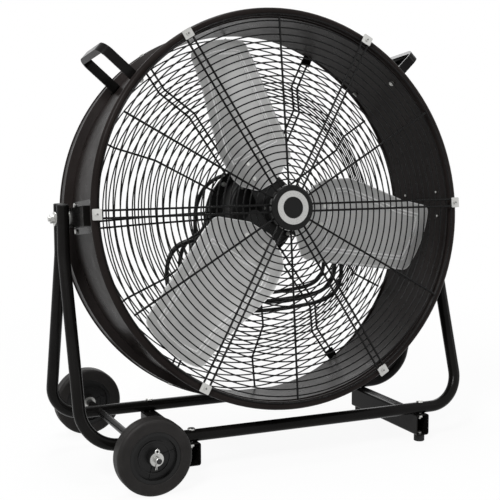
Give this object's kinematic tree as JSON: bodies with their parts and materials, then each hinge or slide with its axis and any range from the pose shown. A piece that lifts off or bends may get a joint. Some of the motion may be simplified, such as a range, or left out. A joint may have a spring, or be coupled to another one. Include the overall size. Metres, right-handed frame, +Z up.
{
  "type": "drum fan",
  "caption": "Large drum fan with wire guards and aluminium blades, tilting in a wheeled tube stand, with its power cord coiled over the motor.",
  "frame": {"origin": "on the floor, midway between the front and rear wheels and between the two pivots", "axes": "+X to the right of someone facing the blowing side, -Y is where the air leaves, +Z up"},
  "size_m": [0.9416, 0.55, 0.955],
  "materials": {
    "black_frame": "gloss powder coat",
    "drum_black": "satin powder coat",
    "guard_black": "gloss powder coat",
    "cap_plastic": "matte",
    "rubber": "matte",
    "tyre_rubber": "matte",
    "hub_plastic": "semi-gloss",
    "zinc": "zinc plated",
    "cap_gloss": "gloss",
    "badge_metal": "bright",
    "motor_black": "satin enamel",
    "core_steel": "machined",
    "copper": "enamelled wire",
    "blade_aluminium": "satin rolled sheet",
    "hub_steel": "satin",
    "box_black": "satin",
    "knob_plastic": "matte",
    "cord_black": "matte",
    "prong_brass": "bright"
  },
  "bodies": {
    "stand": {"front_frame": "black_frame", "rear_frame": "black_frame", "tube_caps": "cap_plastic", "left_cross_member": "black_frame", "right_cross_member": "black_frame", "rubber_feet": "rubber", "foot_screws": "zinc", "rail_bolts": "zinc", "axle_sleeve": "black_frame", "axle_rod": "zinc", "axle_washers": "zinc", "split_pins": "zinc", "pivot_bolts": "zinc", "pivot_washers": "zinc"},
    "head": {"left_handle": "black_frame", "right_handle": "black_frame", "left_pivot_bracket": "black_frame", "right_pivot_bracket": "black_frame", "rear_clips": "black_frame", "drum": "drum_black", "front_guard": "guard_black", "rear_guard": "guard_black", "guard_plate": "guard_black", "strain_relief": "rubber", "guard_clamps": "zinc", "clamp_screws": "zinc", "cap_screw": "zinc", "clip_bolts": "zinc", "handle_bolts": "zinc", "bracket_rivets": "zinc", "motor_through_bolts": "zinc", "motor_mount_bolts": "zinc", "lid_screws": "zinc", "motor_bearings": "zinc", "hub_cap": "cap_gloss", "badge_ring": "badge_metal", "motor_shell": "motor_black", "motor_bells": "motor_black", "stator_core": "core_steel", "stator_windings": "copper", "switch_box": "box_black", "box_lid": "box_black", "rotary_switch": "knob_plastic", "capacitor": "knob_plastic", "power_cord": "cord_black", "cord_coil": "cord_black", "cord_tail": "cord_black", "plug": "cord_black", "plug_prongs": "prong_brass"},
    "impeller": {"rotor": "core_steel", "impeller_hub": "hub_steel", "blade_1": "blade_aluminium", "blade_2": "blade_aluminium", "blade_3": "blade_aluminium", "impeller_fasteners": "zinc"},
    "speed_dial": {"speed_knob": "knob_plastic"},
    "front_wheel": {"front_hub": "hub_plastic", "front_tyre": "tyre_rubber"},
    "rear_wheel": {"rear_hub": "hub_plastic", "rear_tyre": "tyre_rubber"}
  },
  "joints": [
    {"name": "head_tilt", "type": "hinge", "parent": "stand", "child": "head", "pos_m": [0, 0, 0.522], "axis": [1, 0, 0], "range_deg": [-83.3, 96.7]},
    {"name": "impeller_spin", "type": "hinge", "parent": "head", "child": "impeller", "pos_m": [0, 0, 0.522], "axis": [0, -0.9932, 0.1167], "continuous": true},
    {"name": "dial_turn", "type": "hinge", "parent": "head", "child": "speed_dial", "pos_m": [0, 0.14068, 0.51957], "axis": [0, -0.9932, 0.1167], "range_deg": [0, 120]},
    {"name": "front_wheel_spin", "type": "hinge", "parent": "stand", "child": "front_wheel", "pos_m": [-0.333, -0.237, 0.076], "axis": [0, 1, 0], "continuous": true},
    {"name": "rear_wheel_spin", "type": "hinge", "parent": "stand", "child": "rear_wheel", "pos_m": [-0.333, 0.237, 0.076], "axis": [0, 1, 0], "continuous": true}
  ]
}
